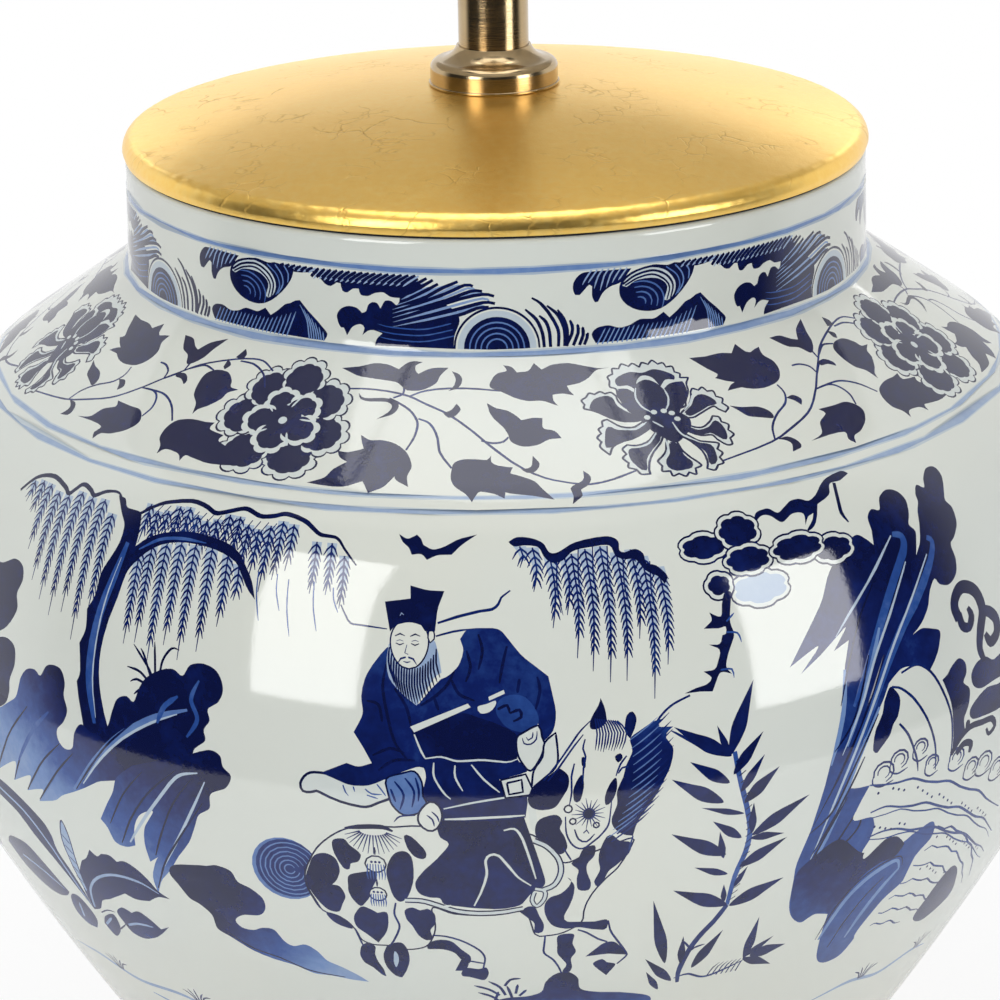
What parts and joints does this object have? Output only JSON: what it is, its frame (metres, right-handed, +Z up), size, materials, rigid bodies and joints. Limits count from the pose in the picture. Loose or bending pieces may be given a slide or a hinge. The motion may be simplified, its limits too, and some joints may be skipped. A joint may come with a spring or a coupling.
{
  "type": "table lamp",
  "caption": "Jar table lamp: painted porcelain jar, gilded lid and plinth, brass neck, turn-knob lampholder, lift-off harp, drum shade and screwed finial.",
  "frame": {"origin": "centre of the felt's underside, where the lamp stands", "axes": "+Z up along the rod, -Y to the front, where the switch knob points and the painted rider shows; +Y to the cord hole at the back"},
  "size_m": [0.4585, 0.4586, 0.6766],
  "materials": {
    "felt": "thin black felt",
    "gold_leaf": "gold leaf over turned wood, lightly wrinkled",
    "porcelain": "clear glossy glaze over cobalt blue painting",
    "rubber": "moulded black rubber",
    "antique_brass": "brushed antique brass",
    "zinc_steel": "zinc plate",
    "plated_wire": "antique brass plate",
    "socket_brass": "satin brass",
    "card": "pressed insulating card",
    "phenolic": "moulded phenolic",
    "knob_plastic": "glossy black",
    "bushing_plastic": "black nylon",
    "linen": "off-white slub linen",
    "lining": "white styrene backing",
    "white_wire": "white coated wire"
  },
  "bodies": {
    "lamp": {"felt_pad": "felt", "base_plinth": "gold_leaf", "cord_bushing": "bushing_plastic", "seat_ring": "felt", "jar": "porcelain", "rod_grommet": "rubber", "lid_gasket": "felt", "lid": "gold_leaf", "neck_collar": "antique_brass", "neck_tube": "antique_brass", "neck_cap": "antique_brass", "lamp_rod": "zinc_steel", "foot_washer": "zinc_steel", "lock_washer": "zinc_steel", "foot_nut": "zinc_steel", "top_nut": "socket_brass", "holder_cap": "socket_brass", "set_screw": "zinc_steel", "holder_shell": "socket_brass", "shell_liner": "card", "holder_body": "phenolic", "terminal_screws": "socket_brass", "screw_shell": "socket_brass", "centre_contact": "socket_brass", "harp_saddle": "plated_wire"},
    "switch": {"switch_shaft": "phenolic", "switch_knob": "knob_plastic"},
    "harp": {"harp_wire": "plated_wire", "harp_stud": "socket_brass"},
    "left_ferrule": {"ferrule_left": "socket_brass"},
    "right_ferrule": {"ferrule_right": "socket_brass"},
    "shade": {"shade_cover": "linen", "shade_lining": "lining", "shade_top_ring": "white_wire", "shade_bottom_ring": "white_wire", "spider_arms": "white_wire", "spider_washer": "socket_brass", "shade_bottom_trim": "linen", "shade_top_trim": "linen"},
    "finial": {"finial_base": "antique_brass", "finial_ball": "gold_leaf"}
  },
  "joints": [
    {"name": "switch_turn", "type": "hinge", "parent": "lamp", "child": "switch", "pos_m": [0, -0.02, 0.4338], "axis": [0, -1, 0], "continuous": true},
    {"name": "harp_lift", "type": "slide", "parent": "lamp", "child": "harp", "axis": [0, 0, 1], "range_m": [0, 0.03]},
    {"name": "ferrule_left_slide", "type": "slide", "parent": "harp", "child": "left_ferrule", "axis": [0, 0, 1], "range_m": [0, 0.014]},
    {"name": "ferrule_right_slide", "type": "slide", "parent": "harp", "child": "right_ferrule", "axis": [0, 0, 1], "range_m": [0, 0.014]},
    {"name": "shade_turn", "type": "hinge", "parent": "harp", "child": "shade", "pos_m": [0, 0, 0.6405], "axis": [0, 0, 1], "continuous": true},
    {"name": "finial_turn", "type": "hinge", "parent": "harp", "child": "finial", "pos_m": [0, 0, 0.6427], "axis": [0, 0, 1], "continuous": true}
  ]
}
